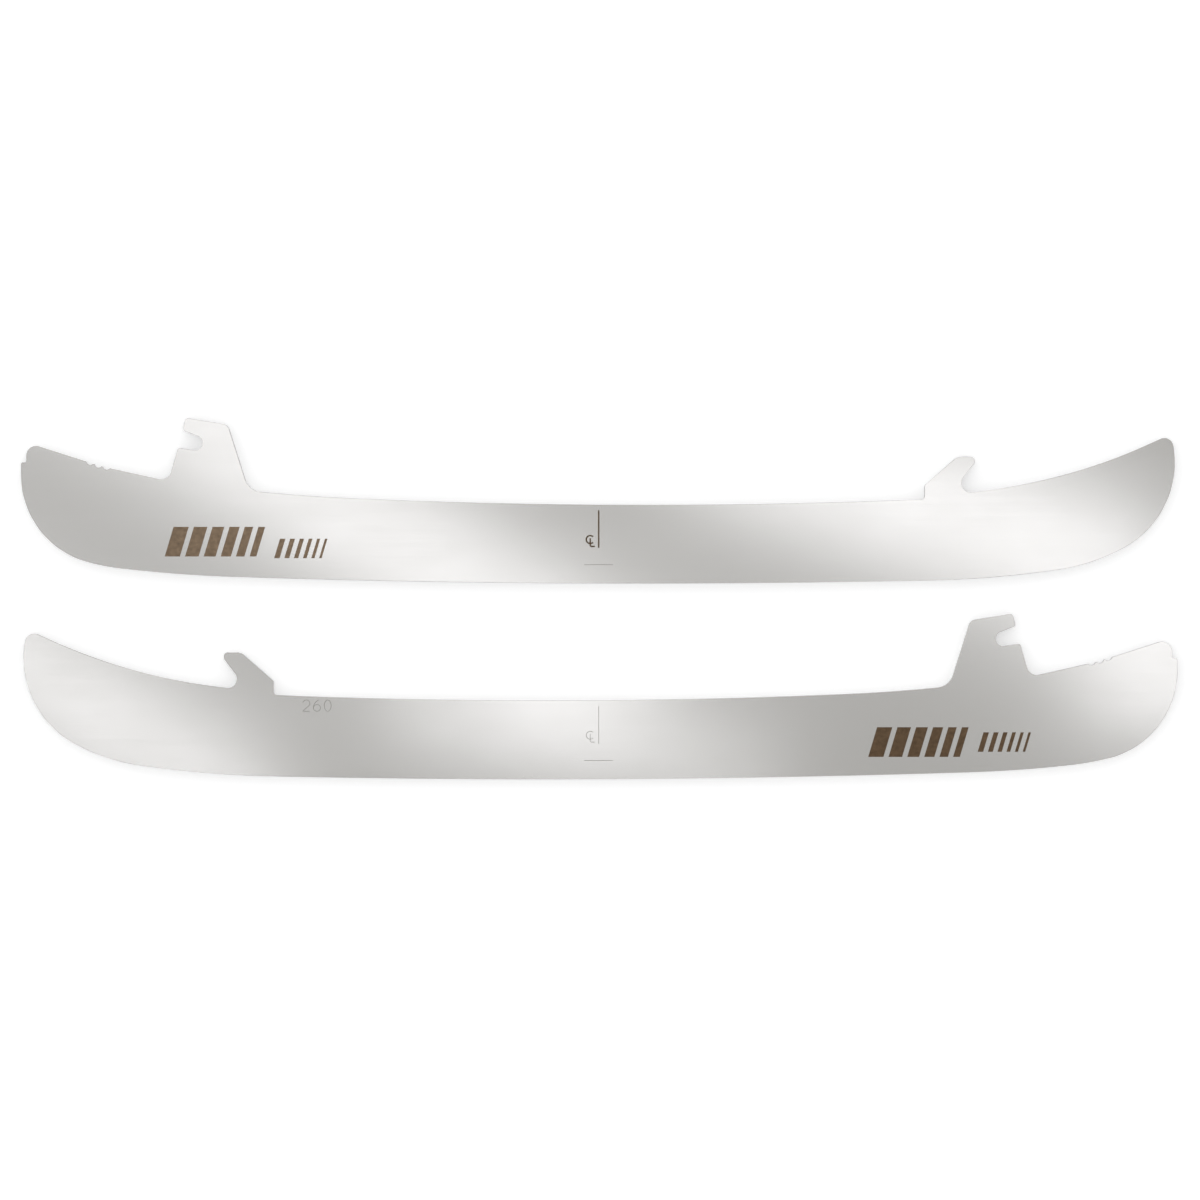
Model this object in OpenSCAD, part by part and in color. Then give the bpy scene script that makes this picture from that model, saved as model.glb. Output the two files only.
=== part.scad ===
// A pair of hockey skate runners, lying flat side by side.
// Each runner is one polished steel plate that clips into a blade holder.
// A runner is drawn with its toe toward +X and its ice edge down, from the lowest point of that edge.

/* [Plate] */
// Length of a runner, heel end to toe end
runner_length = 272; // [262:1:290]
// Distance from the heel end to the runner's centre line
heel_reach = 136.3; // [130:0.1:142]
// Thickness of the steel plate
plate_thickness = 3; // [2:0.1:5]

/* [Ice edge] */
// Radius of the long rocker that stands on the ice
rocker_radius = 3048; // [2400:1:4000]
// Distance of the rocker's lowest point ahead of the centre line
rocker_offset = 12; // [0:0.5:24]
// Radius of the first rise toward the toe
toe_roll_radius = 240; // [150:1:320]
// Slope where the first rise toward the toe ends, in degrees
toe_roll_slope = 8.5; // [6:0.1:11]
// Radius of the bend below the toe
toe_bend_radius = 46; // [36:0.5:56]
// Slope where the bend below the toe ends, in degrees
toe_bend_slope = 28.6; // [22:0.1:36]
// Radius of the toe end
toe_end_radius = 23; // [19:0.1:27]
// Lean of the toe end past upright, in degrees
toe_end_lean = 9; // [2:0.5:12]
// Radius of the first rise toward the heel
heel_roll_radius = 305; // [200:1:400]
// Slope where the first rise toward the heel ends, in degrees
heel_roll_slope = 6.6; // [5:0.1:9]
// Radius of the bend below the heel
heel_bend_radius = 62; // [45:0.5:80]
// Slope where the bend below the heel ends, in degrees
heel_bend_slope = 14.3; // [11:0.1:20]
// Radius of the heel end
heel_end_radius = 21.3; // [18:0.1:25]

/* [Toe top] */
// Length of the straight shelf in front of the hook
shelf_length = 2.4; // [1:0.1:5]
// Slope of that shelf, in degrees
shelf_slope = 7; // [4:0.1:11]
// Radius of the hollow top of the toe
toe_top_radius = 135; // [110:1:150]
// Slope of the toe's top at the tip, in degrees
toe_top_slope = 24.4; // [21:0.1:27]
// Radius of the toe's tip
toe_tip_radius = 2.2; // [1:0.1:3]

/* [Front hook] */
// Distance from the toe end back to the middle of the round seat under the hook
seat_from_toe = 48.1; // [45:0.1:52]
// Height of the seat's middle above the ice
seat_height = 23.7; // [22.5:0.05:25]
// Radius of the seat
seat_radius = 2.15; // [1.6:0.05:2.6]
// Slope of the hook's underside above the seat, in degrees
hook_underside_slope = 53; // [45:0.5:60]
// Overhang of the hook's nose past the seat's middle
hook_overhang = 0.9; // [0.4:0.1:2]
// Height of the hook's flat top above the ice
hook_height = 29.95; // [29:0.05:31.5]
// Length of the hook's flat top
hook_top_length = 4.1; // [3:0.1:5.5]
// Slope of the hook's back, in degrees
hook_back_slope = 41.4; // [36:0.1:46]
// Length of the hook's base behind the seat's middle
hook_base_length = 10.9; // [10:0.1:12]
// Radius of the hook's nose
hook_nose_radius = 0.9; // [0.3:0.1:1.2]
// Radius of the corner below the hook's nose
hook_chin_radius = 0.5; // [0.2:0.1:0.8]
// Radius between the hook's top and its back
hook_crown_radius = 2.5; // [1:0.1:4]
// Radius between the hook's back and the step below it
hook_step_radius = 0.6; // [0.2:0.1:1.2]
// Radius at the foot of that step
hook_foot_radius = 0.8; // [0.3:0.1:1.5]

/* [Spine] */
// Height of the spine above the ice at its lowest point
spine_height = 18.6; // [16:0.05:20]
// Radius of the hollow spine between the hook and the tab
spine_radius = 1600; // [1200:1:2200]
// Radius of the bend into the rear ramp
ramp_bend_radius = 400; // [200:1:500]
// Slope of the ramp up to the rear tab, in degrees
ramp_slope = 5.25; // [4:0.05:6.5]
// Distance from the slot's round end forward to the start of the ramp
ramp_from_slot = 18.35; // [16:0.05:24]

/* [Rear tab] */
// Height of the tab's top corner above the ice
tab_height = 39.15; // [38:0.05:42]
// Length of the tab's top, along its slope
tab_top_length = 10.1; // [9:0.1:12]
// Fall of the tab's top toward the toe, in degrees
tab_top_slope = 9.3; // [5:0.1:14]
// Slope of the tab's front, in degrees
tab_front_slope = 72.3; // [66:0.1:80]
// Slope of the tab's nose above the slot, in degrees
tab_nose_slope = 77; // [68:0.5:86]
// Slope of the tab's back below the slot, in degrees
tab_back_slope = 74; // [66:0.5:82]
// Radius at the foot of the tab's front
tab_front_foot_radius = 4.2; // [2:0.1:6]
// Radius at the foot of the tab's back
tab_back_foot_radius = 2.4; // [1:0.1:4]
// Radius of the tab's front top corner
tab_front_radius = 1.8; // [0.8:0.1:3]
// Radius of the tab's rear top corner
tab_rear_radius = 0.9; // [0.4:0.1:1.3]

/* [Lock slot] */
// Distance from the heel end to the middle of the slot's round end
slot_from_heel = 41.05; // [38:0.05:44]
// Height of the slot's round end above the ice
slot_height = 33.15; // [32.5:0.05:34]
// Radius of the slot's round end
slot_radius = 1.7; // [1.3:0.05:2]
// Slope of the slot's roof, in degrees
slot_roof_slope = 21.5; // [15:0.5:28]
// Slope of the slot's floor, in degrees
slot_floor_slope = 8.5; // [4:0.5:12]
// Length of the nose above the slot, behind the slot's round end
nose_length = 2.95; // [2.4:0.05:3.5]
// Length of the lip below the slot, behind the slot's round end
lip_length = 4.05; // [3.4:0.05:4.8]
// Radius of the nose's lower corner
nose_radius = 0.5; // [0.2:0.1:0.9]
// Radius of the lip
lip_radius = 0.6; // [0.2:0.1:0.9]

/* [Heel top] */
// Distance from the heel end to the bend in the heel's top
heel_bend_from_heel = 18.8; // [16:0.1:22]
// Height of that bend above the ice
heel_bend_height = 27.75; // [27:0.05:28.5]
// Fall of the heel's top in front of the bend, in degrees
heel_shelf_slope = 12.5; // [9:0.1:16]
// Fall of the heel's top behind the bend, in degrees
heel_top_slope = 17.8; // [14:0.1:22]
// Radius of the heel's top corner
heel_corner_radius = 2.35; // [1.5:0.05:2.6]
// Depth of the step in the heel end
heel_step_depth = 1.25; // [0.8:0.05:2]
// Height of the step above the point where the heel end stands upright
heel_step_rise = 3; // [2:0.1:4]
// Radius in the corner of the step
heel_step_radius = 0.4; // [0.1:0.1:0.5]

/* [Heel serrations] */
// Number of round serrations in the heel's top
serration_count = 3; // [1:1:5]
// Distance from the heel end to the middle of the serrations
serration_from_heel = 18.3; // [16:0.1:20]
// Distance between serrations
serration_pitch = 1.95; // [1.6:0.05:2.4]
// Radius of a serration
serration_radius = 1; // [0.7:0.05:1.4]
// Depth of a serration
serration_depth = 0.5; // [0.3:0.05:0.9]

/* [Pair] */
// Gap between the two runners as they lie
pair_gap = 7.1; // [2:0.1:60]

/* [Hidden] */

// Colour of the polished steel
steel = [0.8, 0.8, 0.78];
// Furthest that a chord lies from the arc it stands for
arc_tolerance = 0.004;
// How far the round seat and slot cut into the straight sides that lead into them
side_relief = 0.02;
// Number of sides on a drawn circle
$fn = 96;

// Last item of a list
function last(list) = list[len(list) - 1];

// A list without its last item
function without_last(list) = [for (i = [0:len(list) - 2]) list[i]];

// A list from its end to its start
function backward(list) = [for (i = [len(list) - 1:-1:0]) list[i]];

// Points mirrored from the toe's side to the heel's side
function heelward(points) = [for (p = points) [-p[0], p[1]]];

// Unit vector at an angle
function along(angle) = [cos(angle), sin(angle)];

// Where two lines meet, each given by a point and an angle
function meet(p, p_angle, q, q_angle) =
    p + along(p_angle) * cross(q - p, along(q_angle)) / cross(along(p_angle), along(q_angle));

// Number of chords that keep an arc within the tolerance
function chords(radius, sweep) = ceil(abs(sweep) / (2 * acos(1 - arc_tolerance / radius)));

// Points of an arc after its start p, as it climbs from one slope to another
function climb(p, radius, from_slope, to_slope) =
    let (
        centre = p + radius * [-sin(from_slope), cos(from_slope)],
        count = chords(radius, to_slope - from_slope)
    )
    [for (i = [1:count])
        let (slope = from_slope + (to_slope - from_slope) * i / count)
        centre + radius * [sin(slope), -cos(slope)]];

// Points of tangent arcs after their start p, each arc given by its radius and the slope where it ends
function climbs(p, slope, arcs, i = 0) =
    i == len(arcs) ? [] :
    let (points = climb(p, arcs[i][0], slope, arcs[i][1]))
    concat(points, climbs(last(points), arcs[i][1], arcs, i + 1));

// Slope where the rocker ends, so that the arcs after it stand upright at the given reach
function rocker_end(reach, roll_radius, roll_slope, bend_radius, bend_slope, end_radius) =
    asin(
        (reach
            - roll_radius * sin(roll_slope)
            - bend_radius * (sin(bend_slope) - sin(roll_slope))
            - end_radius * (1 - sin(bend_slope)))
        / (rocker_radius - roll_radius));

// Half the angle between the sides of the corner at b, toward its neighbours a and c
function half_angle(a, b, c) = acos((a - b) * (c - b) / norm(a - b) / norm(c - b)) / 2;

// Points of the rounded corner at b, between its neighbours a and c
function corner(a, b, c, radius) =
    let (
        half = half_angle(a, b, c),
        to_a = (a - b) / norm(a - b),
        to_c = (c - b) / norm(c - b),
        centre = b + (to_a + to_c) / norm(to_a + to_c) * radius / sin(half),
        start = b + to_a * radius / tan(half) - centre,
        turn = sign(cross(b - a, c - b)) * (180 - 2 * half),
        count = chords(radius, turn)
    )
    [for (i = [0:count])
        let (angle = turn * i / count)
        centre + [start[0] * cos(angle) - start[1] * sin(angle), start[0] * sin(angle) + start[1] * cos(angle)]];

// Length of side that the rounding of a path's corner takes up
function taken(path, i) =
    path[i][1] == 0 ? 0 :
    path[i][1] / tan(half_angle(path[i - 1][0], path[i][0], path[i + 1][0]));

// Share of the roundings at both ends of a path's side that the side has room for
function room(path, i) =
    let (needed = taken(path, i) + taken(path, i + 1))
    min(1, norm(path[i + 1][0] - path[i][0]) / max(needed, arc_tolerance));

// Points of a path's rounded corners, from points with radii; the first and last only give directions
function corners(path) =
    [for (i = [1:len(path) - 2])
        let (radius = path[i][1] * min(room(path, i - 1), room(path, i)))
        each corner(path[i - 1][0], path[i][0], path[i + 1][0], radius)];

// Ice edge, from the lowest point out to each end
toe_reach = runner_length - heel_reach;
toe_rocker_end = rocker_end(
    toe_reach - rocker_offset, toe_roll_radius, toe_roll_slope, toe_bend_radius, toe_bend_slope, toe_end_radius);
heel_rocker_end = rocker_end(
    heel_reach + rocker_offset, heel_roll_radius, heel_roll_slope, heel_bend_radius, heel_bend_slope,
    heel_end_radius);
toe_edge = climbs([rocker_offset, 0], 0, [
    [rocker_radius, toe_rocker_end],
    [toe_roll_radius, toe_roll_slope],
    [toe_bend_radius, toe_bend_slope],
    [toe_end_radius, 90 + toe_end_lean]]);
heel_edge = heelward(climbs([-rocker_offset, 0], 0, [
    [rocker_radius, heel_rocker_end],
    [heel_roll_radius, heel_roll_slope],
    [heel_bend_radius, heel_bend_slope],
    [heel_end_radius, 90]]));

// Seat and hook, and the top of the toe that leads out of the seat
seat_reach = toe_reach - seat_from_toe;
seat = [seat_reach, seat_height];
seat_side = seat_radius - side_relief;
shelf_foot = seat - seat_side * along(shelf_slope + 90);
hook_underside_foot = seat + seat_side * along(hook_underside_slope + 90);
shelf_end = shelf_foot + shelf_length * along(shelf_slope);
toe_top = climb(shelf_end, toe_top_radius, shelf_slope, toe_top_slope);
toe_tip = meet(last(toe_edge), 90 + toe_end_lean, last(toe_top), toe_top_slope);
hook_nose = [seat_reach + hook_overhang, hook_height];
hook_chin = meet(hook_underside_foot, hook_underside_slope, hook_nose, 90);
hook_crown = hook_nose - [hook_top_length, 0];
hook_step_reach = seat_reach - hook_base_length;
hook_step = meet(hook_crown, hook_back_slope, [hook_step_reach, 0], 90);

// Spine, from its lowest point forward to the foot of the hook and back to the ramp
slot_reach = heel_reach - slot_from_heel;
ramp_reach = slot_reach - ramp_from_slot + rocker_offset;
spine_rear_slope = asin((ramp_reach - ramp_bend_radius * sin(ramp_slope)) / (spine_radius - ramp_bend_radius));
spine_front_slope = asin((hook_step_reach - rocker_offset) / spine_radius);
spine_front = climb([rocker_offset, spine_height], spine_radius, 0, spine_front_slope);
spine_rear = heelward(climbs([-rocker_offset, spine_height], 0, [
    [spine_radius, spine_rear_slope],
    [ramp_bend_radius, ramp_slope]]));

// Rear tab and its lock slot
slot = [-slot_reach, slot_height];
slot_side = slot_radius - side_relief;
slot_roof_foot = slot + slot_side * along(90 - slot_roof_slope);
slot_floor_foot = slot - slot_side * along(90 - slot_floor_slope);
nose = meet(slot_roof_foot, -slot_roof_slope, slot - [nose_length, 0], 90);
lip = meet(slot_floor_foot, -slot_floor_slope, slot - [lip_length, 0], 90);
tab_rear_top = meet(nose, tab_nose_slope, [0, tab_height], 0);
tab_front_top = tab_rear_top + tab_top_length * along(-tab_top_slope);
tab_front_foot = meet(tab_front_top, -tab_front_slope, last(spine_rear), -ramp_slope);

// Top of the heel and the step in its end
heel_bend = [heel_bend_from_heel - heel_reach, heel_bend_height];
tab_back_foot = meet(lip, tab_back_slope, heel_bend, -heel_shelf_slope);
heel_end = last(heel_edge) + [0, heel_step_rise];
heel_back = heel_end + [heel_step_depth, 0];
heel_corner = meet(heel_bend, -heel_top_slope, heel_back, 90);

// Height of the heel's top at a place along the runner
function heel_top(x) =
    heel_bend[1] - (x - heel_bend[0]) * tan(x < heel_bend[0] ? heel_top_slope : heel_shelf_slope);

outline = concat(
    [[rocker_offset, 0]],
    toe_edge,
    corners([
        [last(toe_edge), 0],
        [toe_tip, toe_tip_radius],
        [last(toe_top), 0]]),
    backward(toe_top),
    [shelf_end, shelf_foot, hook_underside_foot],
    corners([
        [hook_underside_foot, 0],
        [hook_chin, hook_chin_radius],
        [hook_nose, hook_nose_radius],
        [hook_crown, hook_crown_radius],
        [hook_step, hook_step_radius],
        [last(spine_front), hook_foot_radius],
        [last(without_last(spine_front)), 0]]),
    backward(without_last(spine_front)),
    [[rocker_offset, spine_height]],
    spine_rear,
    corners([
        [last(spine_rear), 0],
        [tab_front_foot, tab_front_foot_radius],
        [tab_front_top, tab_front_radius],
        [tab_rear_top, tab_rear_radius],
        [nose, nose_radius],
        [slot_roof_foot, 0]]),
    [slot_roof_foot, slot_floor_foot],
    corners([
        [slot_floor_foot, 0],
        [lip, lip_radius],
        [tab_back_foot, tab_back_foot_radius],
        [heel_bend, 0]]),
    [heel_bend],
    corners([
        [heel_bend, 0],
        [heel_corner, heel_corner_radius],
        [heel_back, heel_step_radius],
        [heel_end, heel_step_radius],
        [last(heel_edge), 0]]),
    backward(heel_edge));

// Places of the two ice edges, with the pair centred on the origin
runner_height = max([for (p = outline) p[1]]);
pair_pitch = runner_height + pair_gap;
right_place = [0, (pair_pitch - runner_height) / 2];
left_place = right_place - [0, pair_pitch];

module serrations() {
    for (i = [0:serration_count - 1]) {
        x = serration_from_heel - heel_reach + (i - (serration_count - 1) / 2) * serration_pitch;
        translate([x, heel_top(x) + serration_radius - serration_depth])
            circle(serration_radius);
    }
}

module plate() {
    linear_extrude(plate_thickness)
        difference() {
            polygon(outline);
            translate(seat)
                circle(seat_radius);
            translate(slot)
                circle(slot_radius);
            serrations();
        }
}

module right_runner() {
    color(steel)
        translate(right_place)
            plate();
}

module left_runner() {
    color(steel)
        translate(left_place)
            mirror([1, 0, 0])
                plate();
}

right_runner();
left_runner();
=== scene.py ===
# %% [markdown]
# # A pair of hockey skate runners
#
# A runner is the steel blade under a hockey boot. It is one flat plate, cut from stainless strip,
# polished on both sides and ground hollow along the edge that meets the ice. Two of them lie flat
# here, one with its right side up and one turned over. The CAD model holds their outline and their
# thickness. This lesson adds what a close look finds: broken edges, the hollow, the marks and the
# finish of the steel.

# %% Load the frame
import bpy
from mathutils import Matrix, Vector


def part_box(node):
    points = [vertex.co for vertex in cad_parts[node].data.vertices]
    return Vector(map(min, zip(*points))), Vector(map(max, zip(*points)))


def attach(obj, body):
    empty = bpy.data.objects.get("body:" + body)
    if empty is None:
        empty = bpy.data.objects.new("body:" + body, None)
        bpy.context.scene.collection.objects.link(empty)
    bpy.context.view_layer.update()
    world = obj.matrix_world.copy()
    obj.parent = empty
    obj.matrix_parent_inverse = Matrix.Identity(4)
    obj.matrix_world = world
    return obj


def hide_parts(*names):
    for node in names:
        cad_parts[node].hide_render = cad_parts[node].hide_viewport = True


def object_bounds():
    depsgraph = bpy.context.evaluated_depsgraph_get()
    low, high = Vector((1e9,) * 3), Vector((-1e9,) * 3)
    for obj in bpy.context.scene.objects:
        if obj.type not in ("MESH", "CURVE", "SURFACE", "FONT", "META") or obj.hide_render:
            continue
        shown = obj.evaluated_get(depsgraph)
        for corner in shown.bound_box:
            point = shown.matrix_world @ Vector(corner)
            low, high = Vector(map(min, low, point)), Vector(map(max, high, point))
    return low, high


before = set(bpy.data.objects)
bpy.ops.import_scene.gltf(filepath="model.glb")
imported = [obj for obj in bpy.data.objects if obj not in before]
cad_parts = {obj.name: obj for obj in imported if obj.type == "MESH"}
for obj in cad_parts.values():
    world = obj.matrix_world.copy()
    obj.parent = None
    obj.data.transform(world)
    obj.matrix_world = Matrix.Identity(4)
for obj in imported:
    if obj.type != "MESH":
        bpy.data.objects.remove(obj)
cad_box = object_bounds()
print("Nodes:", list(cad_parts))

# %% Tools and units
import math

import bmesh
import bpy
from mathutils import Matrix, Vector

MM = 0.001
MICROMETRE = 0.001 * MM


def in_mm(corners):
    """The corners of a box in rounded millimetres."""
    return [[round(c / MM, 2) for c in corner] for corner in corners]


print("CAD box, mm:", in_mm(cad_box))

# %% [markdown]
# ## The plate
#
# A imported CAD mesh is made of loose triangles, which is right for a collision test but poor to model
# on: every long sliver would show in a bevel. A plate needs only its outline, so the copy is merged,
# its upper side is dissolved to one face with many corners, and that face is extruded down by the
# thickness. The result has the same shape with clean walls, one for each short stretch of the outline.

# %% A clean plate from the CAD outline
MERGE_DISTANCE = 0.001 * MM
LEVEL = 0.99


def plate_from_outline(name):
    """A runner's bmesh: the outline of its CAD node's upper side, extruded to the lower side."""
    low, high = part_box(name)
    bm = bmesh.new()
    bm.from_mesh(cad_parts[name].data)
    bmesh.ops.remove_doubles(bm, verts=bm.verts, dist=MERGE_DISTANCE)
    bm.normal_update()
    upper = [face for face in bm.faces if face.normal.z > LEVEL]
    whole = bmesh.ops.dissolve_faces(bm, faces=upper)["region"]
    others = [face for face in bm.faces if face not in whole]
    bmesh.ops.delete(bm, geom=others, context="FACES")
    drawn = bmesh.ops.extrude_face_region(bm, geom=whole)["geom"]
    lowered = [part for part in drawn if isinstance(part, bmesh.types.BMVert)]
    bmesh.ops.translate(bm, verts=lowered, vec=(0, 0, low.z - high.z))
    bmesh.ops.recalc_face_normals(bm, faces=bm.faces)
    return bm


plates = {name: plate_from_outline(name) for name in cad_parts}
for name, bm in plates.items():
    print(name, "faces:", len(bm.faces), "open edges:", sum(not e.is_manifold for e in bm.edges))

# %% [markdown]
# ## Broken edges
#
# No cut plate keeps a knife edge where hands touch it: the rim is tumbled or stoned until it is about
# a tenth of a millimetre round. It is a small thing, but on polished steel it draws a thin line along
# the outline. A bevel on every edge between a flat side and a wall makes it, and two segments are
# enough at this size. Each face also gets the number of its finish here: cut for the upright walls,
# polished for the flat sides and their rims, which are buffed together.

# %% Bevel the rims
EDGE_BREAK = 0.09 * MM
RIM_SEGMENTS = 2
UPRIGHT = 0.01
POLISHED, CUT, GROUND = range(3)


def is_wall(face):
    return abs(face.normal.z) < UPRIGHT


def break_edges(bm):
    """Rounds every edge between a flat side and a wall."""
    rims = [e for e in bm.edges if sum(abs(face.normal.z) > LEVEL for face in e.link_faces) == 1]
    bmesh.ops.bevel(bm, geom=rims, offset=EDGE_BREAK, affect="EDGES", segments=RIM_SEGMENTS, profile=0.5,
                    material=-1, clamp_overlap=True)
    bm.normal_update()
    for face in bm.faces:
        face.material_index = CUT if is_wall(face) else POLISHED
    return len(rims)


for name, bm in plates.items():
    print(name, "rims rounded:", break_edges(bm))

# %% [markdown]
# ## The hollow of the ice edge
#
# A hockey runner isn't flat where it meets the ice. A round stone grinds a long shallow hollow between
# its two edges, most often with a radius of half an inch, so the middle lies less than a tenth of a
# millimetre deep. It could be a bump texture, but then the edge would stay straight in profile. The
# wall is cut into strips across its height instead, and each new point moves in to the stone's circle.

# %% Find the wall of the ice edge
ICE_FACING = -0.35


def ice_wall(bm):
    """The walls that meet the ice: the lowest one, and its neighbours until they turn too far up."""
    lowest = min(filter(is_wall, bm.faces), key=lambda face: face.calc_center_median().y)
    found = {lowest}
    waiting = [lowest]
    while waiting:
        for edge in waiting.pop().edges:
            for face in edge.link_faces:
                if face not in found and is_wall(face) and face.normal.y < ICE_FACING:
                    found.add(face)
                    waiting.append(face)
    return found


for name, bm in plates.items():
    print(name, "walls that meet the ice:", len(ice_wall(bm)))

# %% Sink its middle
HOLLOW_RADIUS = 12.7 * MM
HOLLOW_CUTS = 5


def grind_hollow(bm):
    """Cuts the ice edge's wall into strips and moves them in to the stone's circle."""
    run = ice_wall(bm)
    for face in run:
        face.material_index = GROUND
    inner = [e for e in bm.edges if len(e.link_faces) == 2 and run.issuperset(e.link_faces)]
    heights = [vert.co.z for face in run for vert in face.verts]
    middle = (min(heights) + max(heights)) / 2
    half = (max(heights) - min(heights)) / 2
    to_rim = math.sqrt(HOLLOW_RADIUS ** 2 - half ** 2)
    cut = bmesh.ops.subdivide_edges(bm, edges=inner, cuts=HOLLOW_CUTS, use_grid_fill=True)
    bm.normal_update()
    moves = {}
    for point in cut["geom_inner"]:
        if isinstance(point, bmesh.types.BMVert):
            to_stone = math.sqrt(HOLLOW_RADIUS ** 2 - (point.co.z - middle) ** 2)
            moves[point] = point.normal * (to_rim - to_stone)
    for point, move in moves.items():
        point.co += move
    bm.normal_update()
    return max(move.length for move in moves.values())


for name, bm in plates.items():
    print(name, "hollow, mm deep:", round(grind_hollow(bm) / MM, 3))

# %% [markdown]
# ## Finishes
#
# Every finish is made of nodes, so it has no picture and no seam. One function adds a node: it takes
# the node's options, the values of its sockets, or another node's socket to link from. Colours are
# written as they would be picked on a screen and turned to linear light once.

# %% Colours and nodes


def linear(code):
    """An sRGB hex colour as linear red, green, blue and alpha, by the formula of that standard."""
    shares = [int(code[i:i + 2], 16) / 255 for i in (1, 3, 5)]
    return [s / 12.92 if s <= 0.04045 else ((s + 0.055) / 1.055) ** 2.4 for s in shares] + [1.0]


def add_node(tree, kind, settings):
    """Adds a node. A setting is a socket to link from, a socket's value, or an option of the node."""
    node = tree.nodes.new(kind)
    for key, value in settings.items():
        if isinstance(value, bpy.types.NodeSocket):
            tree.links.new(value, node.inputs[key])
        elif isinstance(key, int) or key in node.inputs:
            node.inputs[key].default_value = value
        else:
            setattr(node, key, value)
    return node


print("Middle grey as linear light:", round(linear("#808080")[0], 3))

# %% [markdown]
# Patterns read Object coordinates, which are metres on these pieces, so a Mapping node that divides by
# a real size in millimetres gives a pattern of that size. A bare metal has two of them: fine lines from
# the way it was worked, and slow clouds where it was worked a little more or less. Lines give the
# relief, clouds give the tint, and both together give the roughness.

# %% Patterns and bare metal
NOISE_DETAIL = 3.0
NOISE_ROUGHNESS = 0.6
# Two noises together lie between these almost everywhere
SUM_LOW, SUM_HIGH = 0.6, 1.4
# Numbers of the Mix node's sockets for colours, of which the last is an output
FACTOR, FIRST_COLOUR, SECOND_COLOUR, MIXED_COLOUR = 0, 6, 7, 2


def grain(tree, size_mm):
    """Noise whose spots are as long as size_mm along X, Y and Z."""
    place = add_node(tree, "ShaderNodeTexCoord", {}).outputs["Object"]
    scale = [1 / (length * MM) for length in size_mm]
    sized = add_node(tree, "ShaderNodeMapping", {"Vector": place, "Scale": scale})
    noise = {"Vector": sized.outputs["Vector"], "Scale": 1.0, "Detail": NOISE_DETAIL,
             "Roughness": NOISE_ROUGHNESS}
    return add_node(tree, "ShaderNodeTexNoise", noise).outputs["Fac"]


def metal(name, colours, roughness, pattern_mm, relief_um, cloud_mm=None):
    """A bare metal. Where it has no clouds, its lines do their work too."""
    material = bpy.data.materials.new(name)
    material.use_nodes = True
    tree = material.node_tree
    shader = tree.nodes["Principled BSDF"]
    shader.inputs["Metallic"].default_value = 1.0
    lines = grain(tree, pattern_mm)
    clouds = grain(tree, cloud_mm) if cloud_mm else lines
    tint = {"data_type": "RGBA", FACTOR: clouds, FIRST_COLOUR: linear(colours[0]),
            SECOND_COLOUR: linear(colours[1])}
    mixed = add_node(tree, "ShaderNodeMix", tint).outputs[MIXED_COLOUR]
    tree.links.new(mixed, shader.inputs["Base Color"])
    both = add_node(tree, "ShaderNodeMath", {"operation": "ADD", 0: lines, 1: clouds}).outputs[0]
    span = {"Value": both, "From Min": SUM_LOW, "From Max": SUM_HIGH,
            "To Min": roughness[0], "To Max": roughness[1]}
    tree.links.new(add_node(tree, "ShaderNodeMapRange", span).outputs[0], shader.inputs["Roughness"])
    relief = {"Height": lines, "Distance": relief_um * MICROMETRE, "Strength": 1.0}
    tree.links.new(add_node(tree, "ShaderNodeBump", relief).outputs[0], shader.inputs["Normal"])
    return material


# %% [markdown]
# The flat sides are stainless steel that was belt ground along the plate and then buffed. That gives
# a soft mirror: lights show as wide bright bands without an edge, and faint lines run lengthwise. The
# real lines are a few hundredths of a millimetre apart, too fine to show, so they are drawn coarser.
# Walls keep the fine upright streaks of the cut, and the ice edge has the lengthwise scratches of the
# stone. All three are the same grey steel, so only roughness, relief and a little tint differ.

# %% Three finishes of one steel
polished_stainless = metal("polished_stainless", ("#D2D2D1", "#CBCBC9"), roughness=(0.096, 0.107),
                           pattern_mm=(70, 0.9, 0.9), relief_um=0.04, cloud_mm=(26, 14, 14))
cut_stainless = metal("cut_stainless", ("#B6B5B3", "#A09F9D"), roughness=(0.34, 0.46),
                      pattern_mm=(0.4, 0.4, 7), relief_um=6)
stone_ground_stainless = metal("stone_ground_stainless", ("#C2C1BE", "#AFAEAB"), roughness=(0.24, 0.34),
                               pattern_mm=(40, 40, 0.25), relief_um=4)
steel_finishes = (polished_stainless, cut_stainless, stone_ground_stainless)
print("Finishes:", [finish.name for finish in steel_finishes])

# %% [markdown]
# A bmesh is only a workbench. Each plate now becomes a mesh that holds the three finishes in the order
# of their numbers, on an object at the origin. The CAD mesh also brought stored normals along. They
# don't fit the new faces and would shade streaks round the marks, so they are removed.

# %% The plates become objects
pieces = {}
for name, bm in plates.items():
    mesh = bpy.data.meshes.new(name + "_steel")
    bm.to_mesh(mesh)
    bm.free()
    mesh.attributes.remove(mesh.attributes["custom_normal"])
    for finish in steel_finishes:
        mesh.materials.append(finish)
    pieces[name] = bpy.data.objects.new(name + "_steel", mesh)
    bpy.context.scene.collection.objects.link(pieces[name])
print("Pieces:", [piece.name for piece in pieces.values()])

# %% [markdown]
# ## Marks
#
# Two kinds of marks are on each side. A laser that only warms the steel leaves a brown film of oxide
# with almost no depth, which keeps the gloss of the steel below, so it is lighter where a bright band
# crosses it. More heat makes the film darker. A diamond point that is dragged over the steel leaves a
# thin matt groove. Both could be painted in the material, but real pockets and grooves keep their crisp
# edge in any light. So each mark is a small solid that a Boolean modifier takes out of the plate, and
# the faces that it leaves keep the mark's own material.

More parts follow.
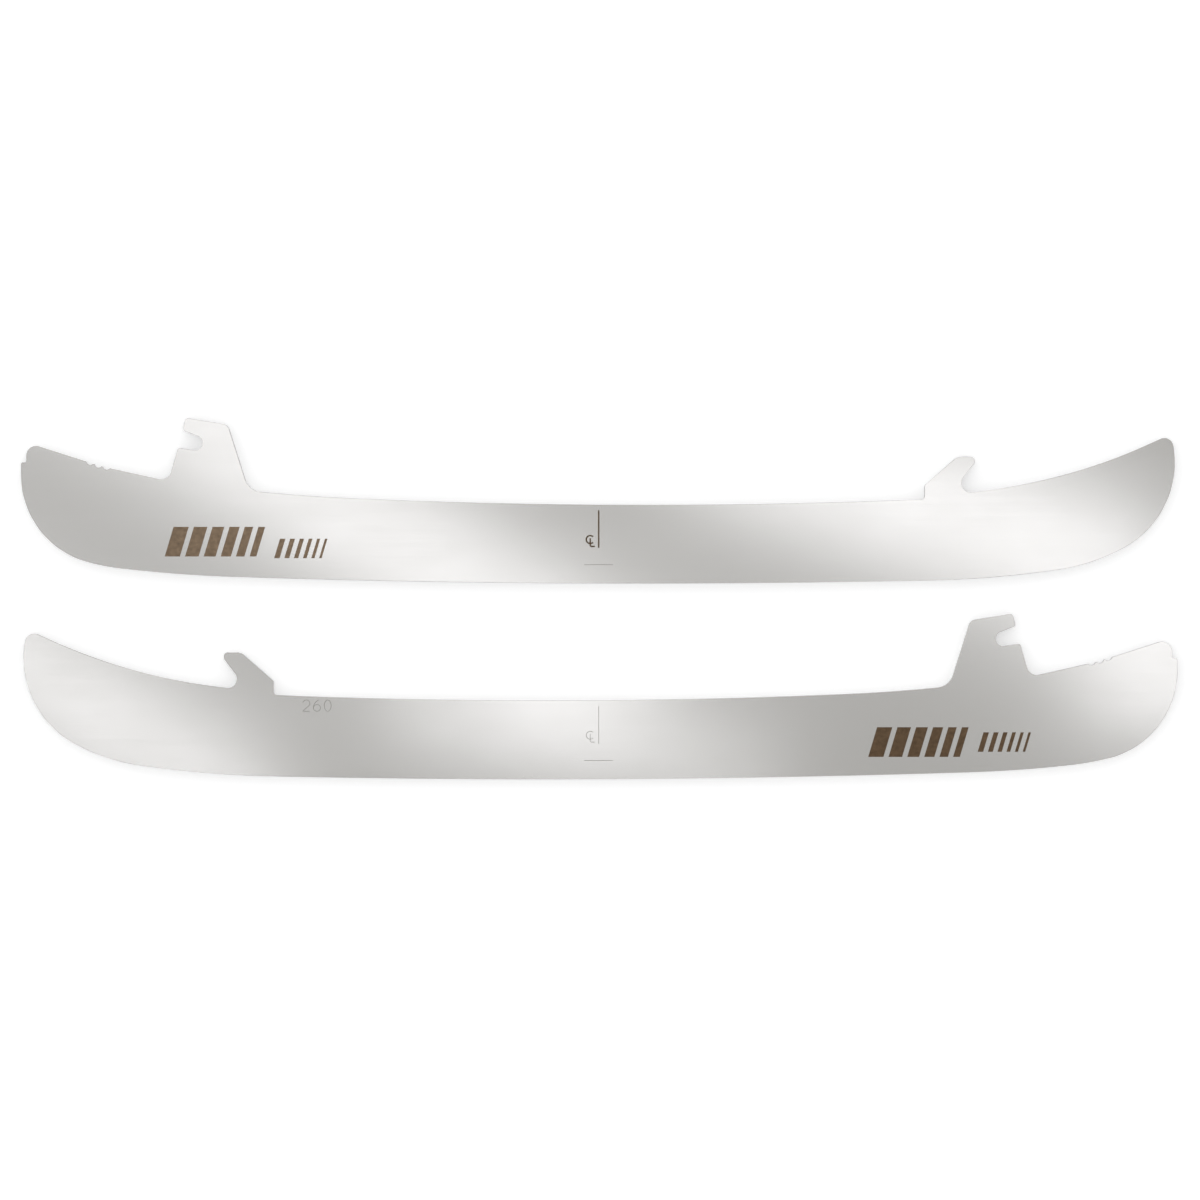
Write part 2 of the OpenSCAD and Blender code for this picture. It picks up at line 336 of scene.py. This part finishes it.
# %% Materials of the marks
OXIDE = {"roughness": (0.15, 0.21), "pattern_mm": (2.5, 0.3, 0.3), "relief_um": 0.1,
         "cloud_mm": (1.1, 0.9, 0.9)}

brown_oxide = metal("laser_brown_oxide", ("#98846E", "#54483C"), **OXIDE)
dark_oxide = metal("laser_dark_oxide", ("#7D6852", "#433629"), **OXIDE)
scribed_steel = metal("scribed_steel", ("#A3A29D", "#8B8A85"), roughness=(0.40, 0.55),
                      pattern_mm=(0.5, 0.5, 0.5), relief_um=1.5)
print("Mark finishes:", brown_oxide.name, dark_oxide.name, scribed_steel.name)

# %% [markdown]
# A mark is drawn in millimetres as a person reads it: x to the right from the runner's middle, y up
# from its ice edge, z out of the steel. The largest marks are rows of leaning bars that grow thinner, a
# plain ornament. A bar is a cube that is scaled, then sheared by a matrix, and reaches a little above
# the steel so that the Boolean cuts cleanly.

# %% Rows of leaning bars
ABOVE = 0.3
OXIDE_DEPTH = 0.03
LEAN = 0.3
WIDE_ROW = {"height": 7.0, "count": 6, "first": 3.6, "last": 1.6, "gap": 1.2}
NARROW_ROW = {"height": 4.6, "count": 6, "first": 1.3, "last": 0.6, "gap": 1.1}


def leaning_bars(left, bottom, height, count, first, last, gap):
    """One mesh of bars whose width goes evenly from first to last."""
    bm = bmesh.new()
    for i in range(count):
        width = first + (last - first) * i / (count - 1)
        block = bmesh.ops.create_cube(bm, size=1.0)["verts"]
        bmesh.ops.translate(bm, verts=block, vec=(0.5, 0.5, 0.5))
        bmesh.ops.scale(bm, verts=block, vec=(width, height, ABOVE + OXIDE_DEPTH))
        slant = Matrix.Identity(4)
        slant[0][1] = LEAN
        place = Matrix.Translation((left, bottom, -OXIDE_DEPTH))
        bmesh.ops.transform(bm, matrix=place @ slant, verts=block)
        left += width + gap
    mesh = bpy.data.meshes.new("bars")
    bm.to_mesh(mesh)
    bm.free()
    return mesh


right_bars = [leaning_bars(-102.4, 6.4, **WIDE_ROW), leaning_bars(-76.6, 6.0, **NARROW_ROW)]
left_bars = [leaning_bars(63.4, 5.3, **WIDE_ROW), leaning_bars(89.2, 6.5, **NARROW_ROW)]
print("Faces of a row:", len(right_bars[0].polygons))

# %% [markdown]
# Lines and figures are strokes: a curve with a round section, made a mesh, whose lower part reaches
# into the steel. Its radius follows from the width and the depth that the stroke has in the steel's
# surface.

# %% Cutters for strokes
JOIN_DISTANCE = 0.01
STROKE_ROUNDNESS = 8


def strokes(paths, width, depth):
    """One mesh of round-bottomed strokes. A path is a list of points, closed if it ends where it began."""
    radius = (width ** 2 / 4 + depth ** 2) / (2 * depth)
    curve = bpy.data.curves.new("strokes", "CURVE")
    curve.dimensions = "3D"
    curve.bevel_depth = radius
    curve.bevel_resolution = STROKE_ROUNDNESS
    curve.use_fill_caps = True
    for path in paths:
        line = curve.splines.new("POLY")
        line.use_cyclic_u = (Vector(path[0]) - Vector(path[-1])).length < JOIN_DISTANCE
        corners = path[:-1] if line.use_cyclic_u else path
        line.points.add(len(corners) - 1)
        for point, (x, y) in zip(line.points, corners):
            point.co = (x, y, radius - depth, 1.0)
    holder = bpy.data.objects.new("strokes", curve)
    mesh = bpy.data.meshes.new_from_object(holder)
    bpy.data.objects.remove(holder)
    return mesh


def arc(centre_x, centre_y, radius_x, radius_y, start, end, steps=20):
    """Points on an ellipse between two angles in degrees."""
    angles = [math.radians(start + (end - start) * i / steps) for i in range(steps + 1)]
    return [(centre_x + radius_x * math.cos(a), centre_y + radius_y * math.sin(a)) for a in angles]


print("Points of a full ring:", len(arc(0, 0, 1, 1, 0, 360)))

# %% [markdown]
# The strokes are plain signs: a line and the draughtsman's sign for the middle of the runner, a short
# tick below it, and a size in millimetres.

# %% Draw the signs


def middle_sign(x, y, size):
    """The sign for a centre line, an open ring and a foot that crosses it, as two strokes."""
    radius = 0.48 * size
    half_gap = 44
    ring = arc(x, y, radius, radius, half_gap, 360 - half_gap)
    top = y + 0.15 * size
    sole = y - 0.83 * size
    toe = x + 0.56 * size
    turn = 0.15 * size
    heel = arc(x + turn, sole + turn, turn, turn, 180, 270, steps=6)
    return ring, [(x, top)] + heel + [(toe, sole)]


def size_figures(left, bottom, height, width, gap):
    """The figures 2, 6 and 0, and apart from them the strokes that meet the 2 and the 6."""
    half = width / 2
    bowl = 0.3 * height
    back_width = 0.95 * width
    two = arc(left + half, bottom + height - half, half, half, 165, -35)
    two.append((left, bottom))
    base = [(left, bottom), (left + width, bottom)]
    left += width + gap
    ring = arc(left + half, bottom + bowl, half, bowl, 0, 360)
    back = arc(left + back_width, bottom + bowl, back_width, height - bowl, 180, 100)
    left += width + gap
    nought = arc(left + half, bottom + height / 2, half, height / 2, 0, 360)
    return [two, ring, nought], [base, back]


ring, foot = middle_sign(x=-2.1, y=10.4, size=1.95)
figures, figure_ends = size_figures(left=-69.85, bottom=16.06, height=2.65, width=1.65, gap=0.875)
tick = [(-3.5, 4.45), (3.25, 4.45)]
middle_line = [(-0.1, 8.45), (-0.1, 17.3)]
print("Strokes of the figures:", len(figures) + len(figure_ends))

# %% [markdown]
# Both sides have the bars, the middle line and the tick, and the left side has the size too. On the
# right side the line and its sign are burnt, on the left side they are scratched. Strokes that cross
# can't be in one cutter, because a Boolean needs a solid that doesn't run through itself.

# %% Marks of the two sides
BURN = {"width": 0.37, "depth": 0.05}
SCRATCH = {"width": 0.115, "depth": 0.025}

right_side = [(row, brown_oxide) for row in right_bars] + [
    (strokes([middle_line, ring], **BURN), dark_oxide),
    (strokes([foot], **BURN), dark_oxide),
    (strokes([tick], **SCRATCH), scribed_steel),
]
left_side = [(row, dark_oxide) for row in left_bars] + [
    (strokes([middle_line, ring, tick] + figures, **SCRATCH), scribed_steel),
    (strokes([foot] + figure_ends, **SCRATCH), scribed_steel),
]
print("Cutters:", len(right_side), "and", len(left_side))

# %% Take a mark out of a plate


def cut_marks(piece, place, marks):
    """Takes each mark out of a plate, at its place on one side."""
    for shape, material in marks:
        cutter = bpy.data.objects.new("cutter", shape.copy())
        cutter.data.transform(place)
        cutter.data.materials.append(material)
        bpy.context.scene.collection.objects.link(cutter)
        taken = piece.modifiers.new("mark", "BOOLEAN")
        taken.operation = "DIFFERENCE"
        taken.solver = "EXACT"
        taken.material_mode = "TRANSFER"
        taken.object = cutter
        seen = piece.evaluated_get(bpy.context.evaluated_depsgraph_get())
        marked = bpy.data.meshes.new_from_object(seen)
        piece.modifiers.clear()
        piece.data = marked
        bpy.data.objects.remove(cutter)


# %% [markdown]
# The upper runner shows its right side and the lower one its left side. Each plate is marked on both,
# so a drawing goes on the side that faces up or, turned half round about the Y axis, on the one that
# faces the floor. The finished plate then rides on its body and stands for its CAD node.

# %% Mark both sides of both plates
SMOOTH_BELOW = math.radians(20)

face_up = {"right_runner": right_side, "left_runner": left_side}
face_down = {"right_runner": left_side, "left_runner": right_side}
for name, piece in pieces.items():
    low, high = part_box(name)
    millimetres = Matrix.Scale(MM, 4)
    upper = Matrix.Translation((0, low.y, high.z)) @ millimetres
    lower = Matrix.Translation((0, low.y, low.z)) @ Matrix.Rotation(math.pi, 4, "Y") @ millimetres
    cut_marks(piece, upper, face_up[name])
    cut_marks(piece, lower, face_down[name])
    piece.data.name = piece.name
    piece.data.shade_smooth()
    piece.data.set_sharp_from_angle(angle=SMOOTH_BELOW)
    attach(piece, name)
    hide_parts(name)
    check = bmesh.new()
    check.from_mesh(piece.data)
    print(piece.name, "faces:", len(check.faces), "open edges:", sum(not e.is_manifold for e in check.edges),
          "finishes:", [m.name for m in piece.data.materials])
    check.free()

# %% [markdown]
# ## Floor
#
# The runners lie on a round of plain white paper. Its rim is turned up far away, so a low view ends on
# paper too.

# %% A round of paper
FLOOR_RADIUS = 6.0
FLOOR_SIDES = 96
FLOOR_GAP = 0.02 * MM
TURNED_UP = 0.95

floor_bm = bmesh.new()
bmesh.ops.create_circle(floor_bm, cap_ends=True, segments=FLOOR_SIDES, radius=FLOOR_RADIUS)
raised = bmesh.ops.extrude_edge_only(floor_bm, edges=floor_bm.edges)["geom"]
rim_points = [part for part in raised if isinstance(part, bmesh.types.BMVert)]
bmesh.ops.translate(floor_bm, verts=rim_points, vec=(0, 0, TURNED_UP))
bmesh.ops.translate(floor_bm, verts=floor_bm.verts, vec=(0, 0, cad_box[0].z - FLOOR_GAP))
floor_mesh = bpy.data.meshes.new("paper_floor")
floor_bm.to_mesh(floor_mesh)
floor_bm.free()
floor = bpy.data.objects.new("paper_floor", floor_mesh)
bpy.context.scene.collection.objects.link(floor)
print("Floor:", 2 * FLOOR_RADIUS, "m wide")

# %% [markdown]
# A lit paper is never quite white in a picture, so its material adds a glow that only what looks at it
# sees: the camera, and mirrors such as the steel. The paper's own matt white still takes the light, so
# the runners keep a thin shadow.

# %% White paper
PAPER_COLOUR = "#F2F4F7"
PAPER_GLOW = 0.42

paper = bpy.data.materials.new("white_paper")
paper.use_nodes = True
paper_tree = paper.node_tree
paper_tree.nodes.clear()
matt = add_node(paper_tree, "ShaderNodeBsdfDiffuse", {"Color": linear(PAPER_COLOUR)})
rays = add_node(paper_tree, "ShaderNodeLightPath", {})
mirrors = add_node(paper_tree, "ShaderNodeMath", {"operation": "MAXIMUM", 0: rays.outputs["Is Glossy Ray"],
                                                  1: rays.outputs["Is Transmission Ray"]})
lookers = add_node(paper_tree, "ShaderNodeMath", {"operation": "MAXIMUM", 0: mirrors.outputs[0],
                                                  1: rays.outputs["Is Camera Ray"]})
share = add_node(paper_tree, "ShaderNodeMath", {"operation": "MULTIPLY", 0: lookers.outputs[0],
                                                1: PAPER_GLOW})
glow = add_node(paper_tree, "ShaderNodeEmission", {"Strength": share.outputs[0]})
both = add_node(paper_tree, "ShaderNodeAddShader", {0: matt.outputs[0], 1: glow.outputs[0]})
add_node(paper_tree, "ShaderNodeOutputMaterial", {"Surface": both.outputs[0]})
floor_mesh.materials.append(paper)
print("Paper nodes:", len(paper_tree.nodes))

# %% [markdown]
# ## Camera
#
# The picture is taken from straight above, from far enough away that hardly any wall of a plate shows.
# The lens follows from the distance and from the width of the table that the picture covers.

# %% Look straight down
VIEW_WIDTH = 282.8 * MM
VIEW_CENTRE = (0.2 * MM, -0.3 * MM)
VIEW_DISTANCE = 2.1
SENSOR = 36.0

camera_data = bpy.data.cameras.new("camera")
camera_data.sensor_width = SENSOR
camera_data.lens = SENSOR * VIEW_DISTANCE / VIEW_WIDTH
camera = bpy.data.objects.new("camera", camera_data)
camera.location = (*VIEW_CENTRE, cad_box[1].z + VIEW_DISTANCE)
bpy.context.scene.collection.objects.link(camera)
bpy.context.scene.camera = camera
print("Lens, mm:", round(camera_data.lens, 1))

# %% [markdown]
# ## Light
#
# Polished steel shows its surroundings more than itself, so the light is drawn by what stands around it.
# A studio with an even grey ceiling gives the flat sides their tone. Its walls are darker on one side
# than on the other, so the rims get a darker line there, and upright light strips along the walls keep
# the steel from looking flat when it is seen from the side. All of it is one formula of the direction of
# view.

# %% Grey studio
CEILING = 0.616
DARK_SIDE = 0.60
LIGHT_SIDE = 1.0
TOWARDS_LIGHT = (-0.6, 0.8, 0.0)
STRIPS = 28
STRIP_SHARE = 0.55
WALL_TOP = 0.85
CEILING_EDGE = 0.97
STUDIO_COLOUR = "#FFFDFA"

world = bpy.data.worlds.new("grey_studio")
bpy.context.scene.world = world
world.use_nodes = True
sky = world.node_tree
towards = add_node(sky, "ShaderNodeTexCoord", {}).outputs["Generated"]
side = add_node(sky, "ShaderNodeVectorMath", {"operation": "DOT_PRODUCT", 0: towards, 1: TOWARDS_LIGHT})
walls = add_node(sky, "ShaderNodeMapRange", {"Value": side.outputs["Value"], "From Min": -1.0,
                                             "To Min": DARK_SIDE, "To Max": LIGHT_SIDE})
axes = add_node(sky, "ShaderNodeSeparateXYZ", {"Vector": towards}).outputs
around = add_node(sky, "ShaderNodeMath", {"operation": "ARCTAN2", 0: axes["Y"], 1: axes["X"]})
turns = add_node(sky, "ShaderNodeMath", {"operation": "MULTIPLY", 0: around.outputs[0], 1: STRIPS})
wave = add_node(sky, "ShaderNodeMath", {"operation": "SINE", 0: turns.outputs[0]})
strips = add_node(sky, "ShaderNodeMath", {"operation": "MULTIPLY_ADD", 0: wave.outputs[0],
                                          1: STRIP_SHARE, 2: 1.0})
lit = add_node(sky, "ShaderNodeMath", {"operation": "MULTIPLY", 0: walls.outputs[0], 1: strips.outputs[0]})
tone = add_node(sky, "ShaderNodeMapRange", {"interpolation_type": "SMOOTHSTEP", "Value": axes["Z"],
                                            "From Min": WALL_TOP, "From Max": CEILING_EDGE,
                                            "To Min": lit.outputs[0], "To Max": CEILING})
sky.links.new(tone.outputs[0], sky.nodes["Background"].inputs["Strength"])
sky.nodes["Background"].inputs["Color"].default_value = linear(STUDIO_COLOUR)
print("Studio nodes:", len(sky.nodes))

# %% [markdown]
# Five soft boxes hang slantwise under the ceiling, and each shows on the steel as a bright band
# without an edge. A flat mirror that is seen from straight above shows a lamp at height h nearer to the
# middle than it hangs, by the view distance over the sum of view distance and h. That gave the first
# place of each box, which was then moved, turned and resized until its band lay right. An area lamp's
# power is its glow times its area times pi, so every box is as bright as the others whatever its size.

# %% Soft boxes overhead
LAMP_HEIGHT = 1.4
LAMP_GLOW = 1.38
LAMP_COLOUR = "#FDFCFF"
# Places, widths and lengths in millimetres, turns in degrees from the X axis
SOFT_BOXES = {
    "left": {"place": (-315, 35), "size": (35, 440), "turn": -34},
    "middle": {"place": (-170, 80), "size": (44, 440), "turn": -33},
    "low": {"place": (-8, -55), "size": (18, 150), "turn": -10},
    "right": {"place": (118, 42), "size": (50, 180), "turn": -20},
    "far_right": {"place": (225, -20), "size": (65, 65), "turn": -20},
}

for name, box in SOFT_BOXES.items():
    lamp_data = bpy.data.lights.new(name + "_soft_box", "AREA")
    lamp_data.shape = "RECTANGLE"
    lamp_data.size, lamp_data.size_y = (length * MM for length in box["size"])
    lamp_data.energy = math.pi * lamp_data.size * lamp_data.size_y * LAMP_GLOW
    lamp_data.color = linear(LAMP_COLOUR)[:3]
    lamp = bpy.data.objects.new(lamp_data.name, lamp_data)
    lamp.location = (box["place"][0] * MM, box["place"][1] * MM, LAMP_HEIGHT)
    lamp.rotation_euler = (0, 0, math.radians(box["turn"] + 90))
    bpy.context.scene.collection.objects.link(lamp)
    print(lamp.name, "power, W:", round(lamp_data.energy, 3))

# %% [markdown]
# ## Colours on screen
#
# Colours are shown as they are, without a film look.

# %% Colours as they are
bpy.context.scene.view_settings.view_transform = "Standard"
